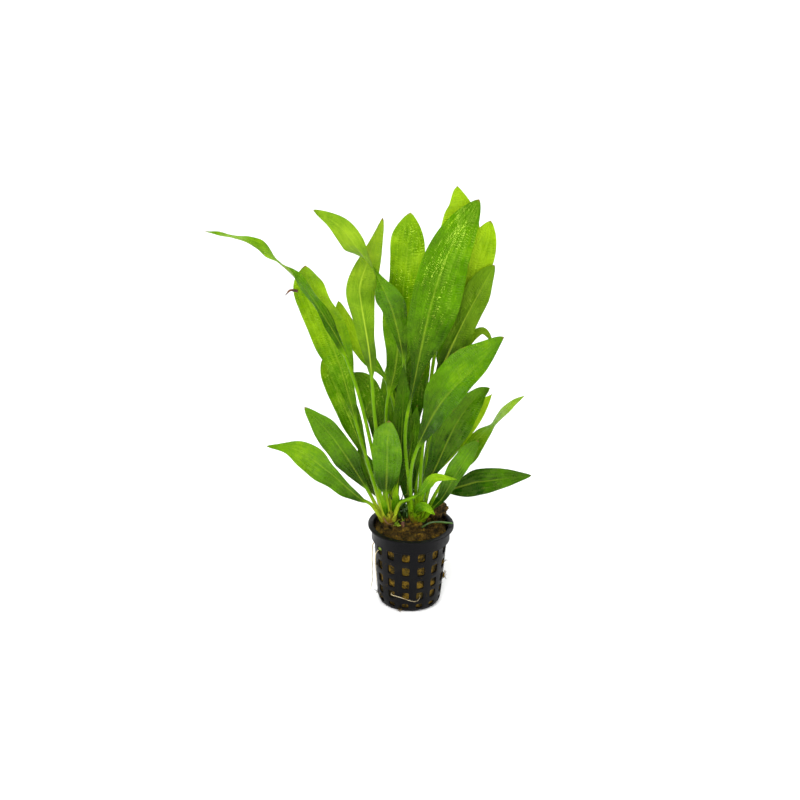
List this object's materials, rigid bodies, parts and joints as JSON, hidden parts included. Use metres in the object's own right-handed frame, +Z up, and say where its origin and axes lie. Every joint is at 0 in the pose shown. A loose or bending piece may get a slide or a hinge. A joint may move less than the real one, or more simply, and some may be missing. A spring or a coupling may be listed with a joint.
{
  "type": "potted amazon sword plant",
  "caption": "Aquarium plant with long lance-shaped green leaves on slim stalks, growing from stone wool in a small black mesh pot.",
  "frame": {"origin": "middle of the plain disc in the underside of the pot's floor, on the surface the pot stands on", "axes": "+Z up along the pot's axis, -Y towards the front of the plant, +X to the right seen from the front"},
  "size_m": [0.1982, 0.1374, 0.2701],
  "materials": {
    "black_plastic": "satin",
    "stone_wool": "matte",
    "crown": "satin",
    "leaf": "gloss",
    "dead_stem": "matte",
    "root": "satin"
  },
  "bodies": {
    "root": {"pot": "black_plastic", "wool_plug": "stone_wool", "wool_clump": "stone_wool", "crown_left": "crown", "crown_right": "crown", "leaf_bent": "leaf", "leaf_broad_left": "leaf", "leaf_broad_right": "leaf", "leaf_crossing": "leaf", "leaf_curled_right": "leaf", "leaf_dark_left": "leaf", "leaf_front": "leaf", "leaf_inner_centre": "leaf", "leaf_inner_left": "leaf", "leaf_inner_right": "leaf", "leaf_largest": "leaf", "leaf_long_arching": "leaf", "leaf_low_left": "leaf", "leaf_low_right": "leaf", "leaf_lower_left": "leaf", "leaf_mid_left": "leaf", "leaf_mid_right": "leaf", "leaf_mid_right_rear": "leaf", "leaf_narrow_right": "leaf", "leaf_pale_ribbed": "leaf", "leaf_rear_centre": "leaf", "leaf_rear_leaning": "leaf", "leaf_rear_left": "leaf", "leaf_rear_low_left": "leaf", "leaf_rear_low_right": "leaf", "leaf_rear_right": "leaf", "leaf_rear_tall": "leaf", "leaf_short_centre": "leaf", "leaf_small_right": "leaf", "leaf_tall_centre": "leaf", "leaf_tall_right": "leaf", "leaf_top": "leaf", "leaf_twisted": "leaf", "leaf_upper_right": "leaf", "leaf_young_centre": "leaf", "leaf_young_left": "leaf", "stalk_cut": "leaf", "runner_stem": "leaf", "old_stump": "dead_stem", "root_left_long": "root", "root_left_short": "root", "root_front": "root"}
  },
  "joints": []
}
